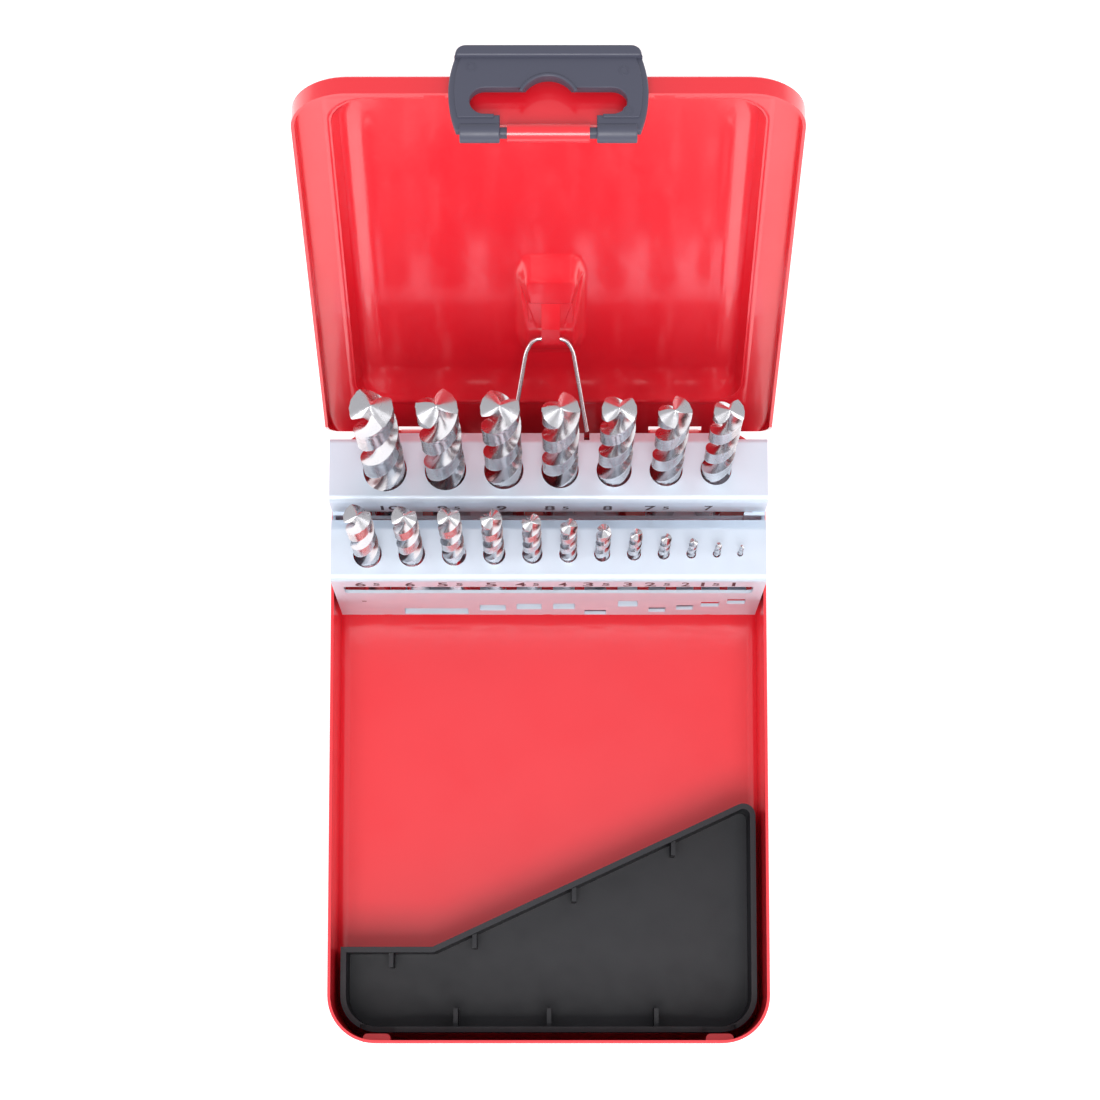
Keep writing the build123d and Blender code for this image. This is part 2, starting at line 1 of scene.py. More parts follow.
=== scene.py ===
# %% [markdown]
# # Drill bit case
# A red enamelled sheet-steel case stands open. Two zinc-plated strips hold nineteen
# twist drills upright, a wire joins the rear strip to the lid, a dark grey latch is
# turned up over the lid's edge and a black tray fills the front of the case.
# The solid model gives the sheet metal its shape. This lesson dresses it: enamel,
# plating and plastic, real flutes on the drills, stamped numbers, light and camera.

# %% Load the solid model
import bpy
import numpy as np
from math import radians, pi, tan, sin, cos
from mathutils import Matrix, Vector


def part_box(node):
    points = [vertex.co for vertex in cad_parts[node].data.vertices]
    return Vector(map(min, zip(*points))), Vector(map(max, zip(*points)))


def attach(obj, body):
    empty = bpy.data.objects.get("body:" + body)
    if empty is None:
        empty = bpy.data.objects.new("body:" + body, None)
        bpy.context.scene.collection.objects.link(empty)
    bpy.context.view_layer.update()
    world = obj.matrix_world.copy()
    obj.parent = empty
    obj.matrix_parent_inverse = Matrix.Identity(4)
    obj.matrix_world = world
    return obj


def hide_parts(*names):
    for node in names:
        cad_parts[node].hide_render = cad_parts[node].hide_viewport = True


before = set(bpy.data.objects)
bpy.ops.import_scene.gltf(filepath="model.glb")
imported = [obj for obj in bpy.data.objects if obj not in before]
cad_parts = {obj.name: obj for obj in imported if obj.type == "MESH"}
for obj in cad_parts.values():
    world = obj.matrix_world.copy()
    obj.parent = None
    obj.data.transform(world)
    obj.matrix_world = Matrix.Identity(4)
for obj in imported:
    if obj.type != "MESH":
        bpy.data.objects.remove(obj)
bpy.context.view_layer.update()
mm = 0.001

# %% [markdown]
# ## Sizes
# The drill holder leans back by two degrees on its pivot. Everything stamped on it, and
# every drill, is worked out in the holder's own frame: X to the right, Y to the back
# and Z up along the drills, with the origin on the pivot. The lid has a frame too: X to
# the right, Y from its hinge to its free end (a station), Z into the case. The wire's
# places in it are used twice, for the wire and for the grooves that make room for it.
# All sizes are in millimetres until a piece is put in its place.

# %% Places in the holder
case_length = 150.0
pivot = Vector((0.0, case_length / 2 - 28.3, 16.5))
holder_lean = radians(2.0)
rear_row = 10.54
front_row = -8.03
rear_face = 2.84
front_face = -14.6
holder_place = Matrix.Translation(pivot * mm) @ Matrix.Rotation(-holder_lean, 4, "X")

lid_lean = radians(19.6)
hinge = Vector((0.0, case_length / 2 - 1.5, 35.3))
lid_place = Matrix.Translation(hinge * mm) @ Matrix.Rotation(pi / 2 - lid_lean, 4, "X")
strap_x = 0.5                        # strap's middle, a little right of the lid's
wire_x = strap_x / 2                 # the wire hangs between the two middles
wire_station, wire_height = 47.5, 1.3
wire_bar_half, wire_foot_half = 3.7, 8.8
print("pivot", tuple(pivot), "hinge", tuple(hinge))


# %% [markdown]
# ## From numbers to meshes
# A surface here is a grid of points: one direction runs along the piece and the other
# round it. numpy works out all the points at once and Blender takes them in one call.
# Drawing faces one by one in a loop would be slower and harder to read.

# %% Grid and mesh helpers
def grid_faces(rows, columns, closed=True):
    """Quads between neighbouring points of a rows x columns grid; closed joins the last
    column to the first."""
    count = columns if closed else columns - 1
    row, column = np.meshgrid(np.arange(rows - 1), np.arange(count), indexing="ij")
    after = (column + 1) % columns
    quads = np.stack(
        [row * columns + column, row * columns + after,
         (row + 1) * columns + after, (row + 1) * columns + column], axis=-1)
    return quads.reshape(-1, 4)


def capped_faces(rows, columns):
    """The quads of a closed grid and a flat face over each end."""
    ring = list(range(columns))
    last = [(rows - 1) * columns + place for place in ring]
    return grid_faces(rows, columns).tolist() + [ring[::-1], last]


def make_piece(name, points, faces, material, place=None, sharp=35.0):
    """Mesh object from points in millimetres, put in its place, smooth but for edges
    that bend by more than the given angle."""
    points = np.asarray(points, float).reshape(-1, 3) * mm
    if place is not None:
        turn = np.array(place.to_3x3())
        points = points @ turn.T + np.array(place.translation)
    mesh = bpy.data.meshes.new(name)
    mesh.from_pydata(points.tolist(), [], [list(map(int, face)) for face in faces])
    mesh.polygons.foreach_set("use_smooth", np.ones(len(mesh.polygons), bool))
    mesh.set_sharp_from_angle(angle=radians(sharp))
    mesh.materials.append(material)
    mesh.update()
    piece = bpy.data.objects.new(name, mesh)
    bpy.context.scene.collection.objects.link(piece)
    return piece


print("helpers ready")


# %% [markdown]
# ## Finishes
# Every finish is a node material on Object coordinates, so that it stays on the piece
# when the camera moves. One helper lays out the shader and its bump.

# %% Shader helper
def finish(name, colour, metallic=0.0, roughness=0.4, **sockets):
    """New material; returns the material, its node tree and its shader node."""
    material = bpy.data.materials.new(name)
    material.use_nodes = True
    tree = material.node_tree
    shader = tree.nodes["Principled BSDF"]
    shader.inputs["Base Color"].default_value = (*colour, 1.0)
    shader.inputs["Metallic"].default_value = metallic
    shader.inputs["Roughness"].default_value = roughness
    for socket, value in sockets.items():
        shader.inputs[socket.replace("_", " ")].default_value = value
    return material, tree, shader


def noise(tree, scale, detail=2.0, stretch=(1, 1, 1)):
    """Noise on Object coordinates, its scale in features per metre."""
    coordinates = tree.nodes.new("ShaderNodeTexCoord")
    mapping = tree.nodes.new("ShaderNodeMapping")
    mapping.inputs["Scale"].default_value = stretch
    texture = tree.nodes.new("ShaderNodeTexNoise")
    texture.inputs["Scale"].default_value = scale
    texture.inputs["Detail"].default_value = detail
    tree.links.new(coordinates.outputs["Object"], mapping.inputs["Vector"])
    tree.links.new(mapping.outputs["Vector"], texture.inputs["Vector"])
    return texture


def bump(tree, shader, texture, distance, strength=0.3):
    """Small relief from a texture."""
    node = tree.nodes.new("ShaderNodeBump")
    node.inputs["Strength"].default_value = strength
    node.inputs["Distance"].default_value = distance
    tree.links.new(texture.outputs["Fac"], node.inputs["Height"])
    tree.links.new(node.outputs["Normal"], shader.inputs["Normal"])
    return node


def spread(tree, texture, socket, low, high):
    """Texture's value remapped to a range and fed to a socket."""
    node = tree.nodes.new("ShaderNodeMapRange")
    node.inputs["From Min"].default_value = 0.3
    node.inputs["From Max"].default_value = 0.7
    node.inputs["To Min"].default_value = low
    node.inputs["To Max"].default_value = high
    tree.links.new(texture.outputs["Fac"], node.inputs["Value"])
    tree.links.new(node.outputs["Result"], socket)
    return node


print("shader helpers ready")

# %% [markdown]
# ## Red enamel
# The case is sprayed with a hard red enamel and stoved. A red base under a clear coat
# gives the deep colour and the soft white reflections. One fine noise, fed to both
# layers, is the orange peel that spraying leaves.

# %% Red enamel
red_enamel, tree, shader = finish(
    "red_enamel", (0.78, 0.008, 0.020), roughness=0.38,
    Coat_Weight=0.85, Coat_Roughness=0.12)
peel = bump(tree, shader, noise(tree, 330.0, 1.0), 0.0003, 0.035)
tree.links.new(peel.outputs["Normal"], shader.inputs["Coat Normal"])
spread(tree, noise(tree, 60.0), shader.inputs["Roughness"], 0.32, 0.44)
print("made", red_enamel.name)

# %% [markdown]
# ## Moulded plastics
# The tray is a thin black moulding; the latch is moulded in a harder, greyer grade. Both
# have a fine grain from the mould, so the roughness wanders a little and a very fine
# bump breaks up the reflections.

# %% Black and grey plastic
black_plastic, tree, shader = finish(
    "black_plastic", (0.0085, 0.0085, 0.0125), roughness=0.46, Specular_IOR_Level=0.4)
bump(tree, shader, noise(tree, 2600.0, 3.0), 0.0001, 0.10)
spread(tree, noise(tree, 180.0), shader.inputs["Roughness"], 0.42, 0.50)
grey_plastic, tree, shader = finish(
    "grey_plastic", (0.064, 0.067, 0.098), roughness=0.42, Specular_IOR_Level=0.5)
bump(tree, shader, noise(tree, 2600.0, 3.0), 0.0001, 0.12)
spread(tree, noise(tree, 180.0), shader.inputs["Roughness"], 0.36, 0.48)
print("made", black_plastic.name, "and", grey_plastic.name)

# %% [markdown]
# ## Zinc plating
# The drill strips are bent from sheet that is dipped in a blue-white passivated zinc. It
# shines between a metal and a paint, so the shader is half metallic and fairly rough.

# %% Zinc-plated steel
zinc_steel, tree, shader = finish(
    "zinc_steel", (0.64, 0.71, 0.80), metallic=0.5, roughness=0.42)
bump(tree, shader, noise(tree, 1500.0, 4.0), 0.0001, 0.10)
spread(tree, noise(tree, 240.0, 3.0), shader.inputs["Roughness"], 0.42, 0.55)
print("made", zinc_steel.name)

# %% [markdown]
# ## Ground tool steel
# Bright drills are ground along their length. Noise that is squeezed along Z draws the
# faint upright grinding streaks on the lands without an image.

# %% Ground tool steel
tool_steel, tree, shader = finish(
    "tool_steel", (0.57, 0.565, 0.585), metallic=1.0, roughness=0.25)
bump(tree, shader, noise(tree, 900.0, 0.0, (1, 1, 0.06)), 0.0001, 0.022)
spread(tree, noise(tree, 500.0, 1.0, (1, 1, 0.1)), shader.inputs["Roughness"], 0.20, 0.29)
print("made", tool_steel.name)

# %% [markdown]
# ## Small metal parts
# Drawn wire is bright and the rivet heads are duller. The stamped numbers are dark with
# dirt and with painted shade: their colour stands in for the shadow in the stamped
# recesses, which the flat figures don't have. Each is the same shader with other values.

# %% Bright wire, rivets and stamped marks
bright_wire, tree, shader = finish(
    "bright_wire", (0.74, 0.75, 0.77), metallic=1.0, roughness=0.2)
spread(tree, noise(tree, 500.0), shader.inputs["Roughness"], 0.15, 0.28)
rivet_steel, tree, shader = finish(
    "rivet_steel", (0.66, 0.66, 0.68), metallic=1.0, roughness=0.35)
spread(tree, noise(tree, 500.0), shader.inputs["Roughness"], 0.28, 0.42)
# stamped numbers: dark colour is dirt plus painted shade for the stamped recesses
stamp_dirt_and_shade, tree, shader = finish(
    "stamp_dirt_and_shade", (0.035, 0.03, 0.04), metallic=0.3, roughness=0.5)
spread(tree, noise(tree, 900.0), shader.inputs["Roughness"], 0.4, 0.6)

node_finish = {
    "base_shell": red_enamel, "lid_shell": red_enamel, "tray_insert": black_plastic,
    "latch_clip": grey_plastic, "rear_holder": zinc_steel, "front_holder": zinc_steel,
    "wire_link": bright_wire, "pivot_rivet_left": rivet_steel,
    "pivot_rivet_right": rivet_steel,
}
for node, material in node_finish.items():
    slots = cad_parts[node].data.materials
    slots.clear()
    slots.append(material)
print("finished", len(node_finish), "nodes")

# %% [markdown]
# ## Enamelled inside of the lid
# The press gives the lid's raised panel soft radii, and enamel softens them again: they
# carry the long bright streaks on an open lid. The solid model has the panel with crisp
# edges, so a thin skin is laid over the inside. It is one height field over the panel:
# the border, a sloping wall at a distance inwards from the panel's outline, the panel's
# floor, and a mound round the strap. A low bead beside each wall is the sheet's spring
# after pressing, and two shallow grooves let the wire's legs lie flat when the lid is
# shut. A smooth minimum and maximum round the corners where two of them meet.

# %% Smooth edges
def smooth_min(a, b, k):
    """min(a, b) with the corner rounded over a height k."""
    h = np.clip(0.5 + 0.5 * (b - a) / k, 0, 1)
    return b + (a - b) * h - k * h * (1 - h)


def smooth_max(a, b, k):
    """max(a, b) with the corner rounded over a height k."""
    return -smooth_min(-a, -b, k)


def ease(x, low, high):
    """Smooth step: 0 below low, 1 above high."""
    t = np.clip((x - low) / (high - low), 0, 1)
    return t * t * (3 - 2 * t)


def inside_distance(x, s, half, low, high, corner):
    """Distance inwards from the outline of a rectangle with round corners."""
    across = np.abs(x) - (half - corner)
    along = np.abs(s - (low + high) / 2) - ((high - low) / 2 - corner)
    outside = np.hypot(np.maximum(across, 0), np.maximum(along, 0))
    return corner - outside - np.minimum(np.maximum(across, along), 0)


print("smooth edge at 0:", smooth_min(0.0, 0.0, 1.0))

# %% [markdown]
# ## Panel and mound
# Heights are measured from the middle of the lid's sheet. The panel's side walls are
# steep and its wall at the hinge is gentle, as the press leaves them. The mound carries
# the strap: its sides are steep, and its two ends run out over a longer way.

# %% Panel and mound
lid_panel_half = 46.6
lid_panel_low, lid_panel_high = 17.0, 141.7
lid_panel_corner = 8.5
lid_border_level, lid_floor_level = 0.35, -2.95
wall_slope = tan(radians(32.0))
hinge_wall_share = 0.30              # its steepness against the side walls'
wall_blend, border_blend, floor_blend = 1.5, 0.6, 2.4
mound_half, mound_corner, mound_rise = 7.5, 3.0, 2.95
mound_low, mound_high = 41.5, 71.0
mound_foot, mound_top = -0.9, 2.2    # its side runs between these inward distances
steep_low, steep_high = 44.0, 68.0   # beyond these stations the ends run out,
hinge_squeeze, far_squeeze = 0.35, 0.4    # drawn out by these shares
ramp_start, ramp_end, ramp_rise = 61.5, 80.0, 0.5
ramp_half, ramp_spread = 5.1, 0.136


def panel_height(x, s):
    """Border, wall and floor: the wall falls with the distance inwards."""
    side = inside_distance(x, s, lid_panel_half, lid_panel_low, lid_panel_high,
                           lid_panel_corner)
    back = (s - lid_panel_low) * hinge_wall_share
    wall = lid_border_level - smooth_min(side, back, wall_blend) / wall_slope
    wall = smooth_min(wall, lid_border_level, border_blend)
    return smooth_max(wall, lid_floor_level, floor_blend)


def mound_height(x, s):
    """Mound round the strap, measured on stations that are squeezed beyond its steep
    part, and the low ramp that runs from the strap towards the free end."""
    after = steep_high + (s - steep_high) * far_squeeze
    before = steep_low - (steep_low - s) * hinge_squeeze
    squeezed = np.where(s > steep_high, after, np.where(s < steep_low, before, s))
    inwards = inside_distance(x - strap_x, squeezed, mound_half, mound_low, mound_high,
                              mound_corner)
    half = ramp_half + (s - ramp_start) * ramp_spread
    ramp = ease(half - np.abs(x - strap_x), 0, 0.5)
    ramp = ramp * ease(s, ramp_start - 0.3, ramp_start + 0.3)
    ramp = ramp * (1 - ease(s, ramp_start + 0.5, ramp_end))
    return mound_rise * ease(inwards, mound_foot, mound_top) + ramp_rise * ramp


print("floor at", panel_height(0.0, 100.0), "mound at", mound_height(0.0, 55.0))

# %% [markdown]
# ## Grooves and beads
# When the lid is shut, the wire's two legs lie over the mound's sides, so the surface
# stays below them. The beads stand beside the panel's side walls.

# %% Grooves and beads
leg_spread, leg_fall = 0.217, 0.1205    # a shut leg's way out and down, for 1 mm along
groove_half, groove_edge = 1.1, 2.0     # from a leg's middle: to the groove's side, its top
groove_level = 0.35
groove_low, groove_high = 46.5, 71.5
clear_of_all = 8.0                      # higher than anything on the lid
bead_in, bead_width, bead_rise = 6.4, 1.5, 0.38
bead_low, bead_high = 40.0, 126.0


def groove_height(x, s):
    """Highest level that clears the shut wire; far above the lid away from its legs."""
    along = s - wire_station
    away = np.abs(np.abs(x - wire_x) - wire_bar_half - leg_spread * along)
    beyond = ease(away, groove_half, groove_edge)
    beyond = beyond + ease(s, groove_high, groove_high + 1.5)
    beyond = beyond + 1 - ease(s, groove_low - 1.5, groove_low)
    return groove_level - leg_fall * along + clear_of_all * beyond


def bead_height(x, s):
    """Low round bead along each side wall, fading out at both ends."""
    beside = lid_panel_half - np.abs(x)
    bead = np.exp(-0.5 * ((beside - bead_in) / bead_width) ** 2)
    fade = ease(s, bead_low - 14, bead_low) * (1 - ease(s, bead_high, bead_high + 10))
    return bead_rise * bead * fade


def lid_height(x, s):
    """Height of the lid's inside at X and a station s."""
    pressed = panel_height(x, s) + mound_height(x, s)
    return np.minimum(pressed, groove_height(x, s)) + bead_height(x, s)


print("lid's inside beside the strap:", lid_height(5.0, 55.0))

# %% [markdown]
# ## The skin itself
# Stations are close together where the sheet bends and far apart where it is flat, so
# the faces go where they are seen. The rim rises out of the border by a hair, and the
# faces under the strap are left out, since the strap covers an opening there.

# %% Lay the skin on the lid
def steps(*stretches):
    """Stations from stretches of (start, end, spacing)."""
    return np.unique(np.concatenate(
        [np.linspace(a, b, int(round((b - a) / gap)) + 1) for a, b, gap in stretches]))


strap_low, strap_high, strap_half = 45.4, 60.5, 2.15
rim_width = 1.2
rim_level, skin_lift = 0.02, 0.14    # over the border at the rim, and further in
edge = lid_panel_half + rim_width
skin_low, skin_high = lid_panel_low - rim_width, lid_panel_high + rim_width
stations_x = steps((-edge, -34, 0.35), (-34, -14, 1.5), (-14, 15, 0.25), (15, 34, 1.5),
                   (34, edge, 0.35))
stations_s = steps((skin_low, 34, 0.4), (34, strap_low, 0.3),
                   (strap_low, strap_high, 0.5), (strap_high, 84, 0.25), (84, 136, 2.0),
                   (136, skin_high, 0.3))
strap_sides = [strap_x - strap_half, strap_x + strap_half]
stations_x = np.unique(np.append(stations_x, strap_sides))
s_grid, x_grid = np.meshgrid(stations_s, stations_x, indexing="ij")
inwards = inside_distance(x_grid, s_grid, edge, skin_low, skin_high, 0.1)
height = lid_height(x_grid, s_grid) + rim_level + skin_lift * ease(inwards, 0, rim_width)
points = np.stack([x_grid, s_grid, height], axis=-1)
quads = grid_faces(*x_grid.shape, closed=False)
middle = points.reshape(-1, 3)[quads].mean(axis=1)
under_strap = (np.abs(middle[:, 0] - strap_x) < strap_half) & (
    middle[:, 1] > strap_low) & (middle[:, 1] < strap_high)
lid_skin = make_piece("lid_inside", points, quads[~under_strap][:, ::-1], red_enamel,
                      lid_place, sharp=60.0)
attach(lid_skin, "lid")
print("lid skin:", len(quads), "faces")

# %% [markdown]
# ## Latch
# The latch is injection moulded: a plate with bowed sides and softly rounded edges, a
# hooked lip at its free end, a hanging slot that opens towards two knuckles, and thin
# journals that turn in the lid's rolled tab. Its outlines are flat curves given a
# thickness and a rounded edge, which is what the mould's parting and radii give.

# %% Latch sizes
latch_axis, latch_drop = 150.65, 15.5
latch_turn = radians(176.0)
latch_reach = 19.6
latch_thick = 2.0
latch_inner = -1.65
slot_centre, slot_half_height, slot_half_width = 6.6, 3.15, 16.3
bump_radius, bump_rise = 5.6, 2.6
open_half = 10.0                     # between the two knuckles
waist_half, waist_height, waist_bow = 20.7, 9.0, 0.019
far_corner = 2.2                     # radius of the plate's far corners
plate_low = -0.4                     # plate's lower end, inside the knuckles
plate_edge = 0.45                    # radius of its edges
face_low, face_inset = 2.6, 1.25
face_thick, face_edge = 0.65, 0.18
raised_root = latch_inner + 0.3      # raised details start inside the plate
hook_high, hook_thick, hook_edge, hook_back = 2.7, 2.4, 0.5, -0.6
rim_gap, rim_thick, rim_high, rim_edge = 0.05, 0.8, 0.95, 0.3
knuckle_radius, knuckle_end = 2.1, 18.3
pin_radius, pin_half = 1.2, 11.0
latch_place = (
    lid_place @ Matrix.Translation((0, latch_axis * mm, latch_drop * mm))
    @ Matrix.Rotation(-latch_turn, 4, "X"))
print("latch axis", latch_axis, "reach", latch_reach)

# %% [markdown]
# ## Flat outlines with a thickness
# Most of the latch is flat: an outline, a thickness and round edges. A curve that is
# filled, extruded and bevelled gives just that, and is made a mesh at once.

# %% Arc and slab helpers
def arc(centre, radius, start, end, count):
    """Points on an arc between two angles in degrees."""
    a = np.radians(np.linspace(start, end, count))
    return np.stack([centre[0] + radius * np.cos(a), centre[1] + radius * np.sin(a)], 1)


def slab(name, loops, thickness, edge_radius, material, place):
    """Flat outlines, the first round the others, made a plate of one thickness with
    rounded edges, standing on the plane Z = 0; millimetres."""
    curve = bpy.data.curves.new(name, "CURVE")
    curve.dimensions = "2D"
    curve.fill_mode = "BOTH"
    for loop in loops:
        spline = curve.splines.new("POLY")
        spline.points.add(len(loop) - 1)
        flat = np.zeros((len(loop), 4))
        flat[:, :2] = loop
        flat[:, 3] = 1
        spline.points.foreach_set("co", flat.ravel())
        spline.use_cyclic_u = True
    curve.extrude = thickness / 2 - edge_radius
    curve.bevel_depth = edge_radius
    curve.bevel_resolution = 3
    curve.offset = -edge_radius
    shape = bpy.data.objects.new(name, curve)
    bpy.context.scene.collection.objects.link(shape)
    bpy.context.view_layer.update()
    mesh = bpy.data.meshes.new_from_object(shape)
    bpy.data.objects.remove(shape)
    raise_half = Matrix.Translation((0, 0, thickness / 2))
    mesh.transform(place @ Matrix.Diagonal((mm, mm, mm, 1)) @ raise_half)
    mesh.polygons.foreach_set("use_smooth", np.ones(len(mesh.polygons), bool))
    mesh.set_sharp_from_angle(angle=radians(40))
    mesh.materials.clear()
    mesh.materials.append(material)
    piece = bpy.data.objects.new(name, mesh)
    bpy.context.scene.collection.objects.link(piece)
    return piece


def standing(y):
    """Place for a flat outline drawn in X and Z: its thickness runs from y towards the
    side that the lip bends to."""
    upright = Matrix.Rotation(pi / 2, 4, "X")
    return latch_place @ Matrix.Translation((0, y * mm, 0)) @ upright


print("slab helper ready")

# %% [markdown]
# ## Latch plate
# Two outlines are drawn once as functions: the bowed plate with round far corners, and
# the hanging slot with its bump. The plate uses them as they are; a thinner face, drawn
# a little inside, leaves the stepped edge that runs round a moulded lever.

# %% Latch plate
def half_width(z):
    """Half the plate's width at a height over the axis: widest at the waist."""
    return waist_half - waist_bow * (z - waist_height) ** 2


def bowed_outline(low, inset):
    """Plate's outline above a height, its far corners rounded, moved inwards."""
    corner = far_corner - 0.6 * inset
    high = latch_reach - inset
    z = np.linspace(low, high - corner, 24)
    side = np.stack([half_width(z) - inset, z], 1)
    turn = arc((side[-1, 0] - corner, high - corner), corner, 0, 90, 8)
    right = np.concatenate([side, turn[1:]])
    return np.concatenate([right, right[::-1] * (-1, 1)])


def slot_outline():
    """Hanging slot with its round bump, its lower edge left open between the knuckles;
    also the height of that edge and of the bump's centre."""
    lower, upper = slot_centre - slot_half_height, slot_centre + slot_half_height
    end = slot_half_width - slot_half_height
    lift = upper + bump_rise - bump_radius
    spread_angle = np.degrees(np.arcsin((upper - lift) / bump_radius))
    right = arc((end, slot_centre), slot_half_height, -90, 90, 16)
    bump_arc = arc((0, lift), bump_radius, spread_angle, 180 - spread_angle, 24)
    left = arc((-end, slot_centre), slot_half_height, 90, 270, 16)
    return np.concatenate([right, bump_arc, left]), lower, lift


def plate_outline(low, inset):
    """Bowed outline with the slot let in between the knuckles."""
    slot, slot_low, _ = slot_outline()
    gate = open_half + inset
    return np.concatenate([
        bowed_outline(low, inset), [(-gate, low), (-gate, slot_low)], slot[::-1],
        [(gate, slot_low), (gate, low)]])


latch_plate = slab("latch_plate", [plate_outline(plate_low, 0.0)], latch_thick,
                   plate_edge, grey_plastic, standing(latch_inner + latch_thick))
latch_face = slab("latch_face", [plate_outline(face_low, face_inset)], face_thick,
                  face_edge, grey_plastic, standing(raised_root))
print("plate's widest half:", half_width(waist_height))

# %% [markdown]
# ## Lip, knuckles and journals
# The lip that snaps over the base is the far end of the same outline, only thicker. The
# knuckles and the pin are turned profiles, because they lie on the hinge axis.

# %% Hooked lip, knuckles and journals
hook = slab("latch_hook", [bowed_outline(latch_reach - hook_high, 0.0)], hook_thick,
            hook_edge, grey_plastic, standing(hook_back))
_, _, bump_centre = slot_outline()
rim_outline = np.concatenate([
    arc((0, bump_centre), bump_radius + rim_gap + rim_thick, 20, 160, 28),
    arc((0, bump_centre), bump_radius + rim_gap, 160, 20, 28)])
slot_rim = slab("latch_slot_rim", [rim_outline], rim_high, rim_edge, grey_plastic,
                standing(raised_root))


def round_bar(name, radius, low, high, round_edge, material, place):
    """Bar along X between two places: a profile with rounded ends turned round it."""
    ends = np.radians(np.linspace(0, 90, 6))
    x = np.concatenate([low + round_edge * (1 - np.cos(ends)),
                        high - round_edge * (1 - np.cos(ends[::-1]))])
    r = np.concatenate([radius - round_edge * (1 - np.sin(ends)),
                        radius - round_edge * (1 - np.sin(ends[::-1]))])
    angle = np.linspace(0, 2 * pi, 40, endpoint=False)
    x, a = np.meshgrid(x, angle, indexing="ij")
    r = np.repeat(r[:, None], len(angle), axis=1)
    points = np.stack([x, r * np.cos(a), r * np.sin(a)], axis=-1)
    return make_piece(name, points, capped_faces(*x.shape), material, place, sharp=50.0)


latch_pieces = [latch_plate, latch_face, hook, slot_rim]
for side, word in ((-1, "left"), (1, "right")):
    low, high = sorted((side * open_half, side * knuckle_end))
    latch_pieces.append(round_bar("latch_knuckle_" + word, knuckle_radius, low, high, 0.3,
                                  grey_plastic, latch_place))
latch_pieces.append(round_bar("latch_pin", pin_radius, -pin_half, pin_half, 0.2,
                              grey_plastic, latch_place))
print("latch pieces so far:", len(latch_pieces))

# %% [markdown]
# ## Ejector marks
# A moulded part keeps the round prints of the pins that pushed it out of the mould. A
# thin ring at each place is enough to catch the light.

# %% Ejector marks
ejector_places = [(-16.0, 14.6), (15.6, 13.8), (16.4, 4.2)]
ejector_radius, ejector_hollow = 1.05, 0.82
ejector_high = 0.16
ejector_root = latch_inner - 0.27    # just inside the raised face
for count, place in enumerate(ejector_places):
    mark = arc(place, ejector_radius, 0, 350, 24)
    hollow = arc(place, ejector_hollow, 0, 350, 24)
    ring = slab("ejector_mark_%d" % count, [mark, hollow], ejector_high,
                ejector_high / 4, grey_plastic, standing(ejector_root))
    latch_pieces.append(ring)
for piece in latch_pieces:
    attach(piece, "latch")
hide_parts("latch_clip")
print("latch pieces:", len(latch_pieces))

# %% [markdown]
# ## Link wire
# A spring-steel wire is bent once over the lid's strap and opens into two legs. The bends
# are round, as a bending pin leaves them. A circle is carried along a flat path whose
# corners are replaced by short curves.

# %% Bend the wire
wire_radius = 0.5
wire_fall = radians(33.5)
wire_knee, wire_reach = 3.0, 23.5    # down each leg: to its knee, to its foot
knee_half = wire_bar_half + 1.8
bend_cut = 1.7
wire_start = lid_place @ Vector((wire_x * mm, wire_station * mm, wire_height * mm)) / mm


def rounded_path(corners, cut, count=9):
    """Path through corners, each inner one replaced by a curve that starts and ends at
    a distance cut from it: a blend of the corner and two points on its sides."""
    before, corner, after = corners[:-2], corners[1:-1], corners[2:]

    def towards(target):
        step = target - corner
        return corner + cut * step / np.linalg.norm(step, axis=1, keepdims=True)

    t = np.linspace(0, 1, count)[None, :, None]
    first, last = towards(before)[:, None], towards(after)[:, None]
    curve = (1 - t) ** 2 * first + 2 * t * (1 - t) * corner[:, None] + t ** 2 * last
    return np.concatenate([corners[:1], curve.reshape(-1, 3), corners[-1:]])


def bent_wire(name, path, normal, radius, material):
    """Round wire along a flat path: circles across it, standing on its direction."""
    along = np.gradient(path, axis=0)
    along /= np.linalg.norm(along, axis=1, keepdims=True)
    side = np.cross(normal, along)
    angle = np.linspace(0, 2 * pi, 16, endpoint=False)[None, :, None]
    points = path[:, None] + radius * (np.cos(angle) * side[:, None]
                                       + np.sin(angle) * normal)
    faces = capped_faces(*points.shape[:2])
    return make_piece(name, points, faces, material, sharp=50.0)


across = np.array([-wire_foot_half, -knee_half, -wire_bar_half,
                   wire_bar_half, knee_half, wire_foot_half])
down = np.array([wire_reach, wire_knee, 0.0, 0.0, wire_knee, wire_reach])
wire_corners = np.stack([wire_start.x + across, wire_start.y - down * cos(wire_fall),
                         wire_start.z - down * sin(wire_fall)], axis=1)
wire_normal = np.array([0.0, -sin(wire_fall), cos(wire_fall)])
link = bent_wire("link_wire", rounded_path(wire_corners, bend_cut), wire_normal, wire_radius,
                 bright_wire)
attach(link, "link")
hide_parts("wire_link")
print("wire starts at", tuple(round(v, 2) for v in wire_start))

# %% [markdown]
# ## Twist drills
# A jobber drill is a round shank that runs into two helical flutes. Seen along its
# axis, the outline is full radius on two lands and sinks to a thin web in two flutes.
# Turning that outline as it climbs makes the helix. The last rows shrink to the axis
# along a cone of 118 degrees, which grinds the two lips.

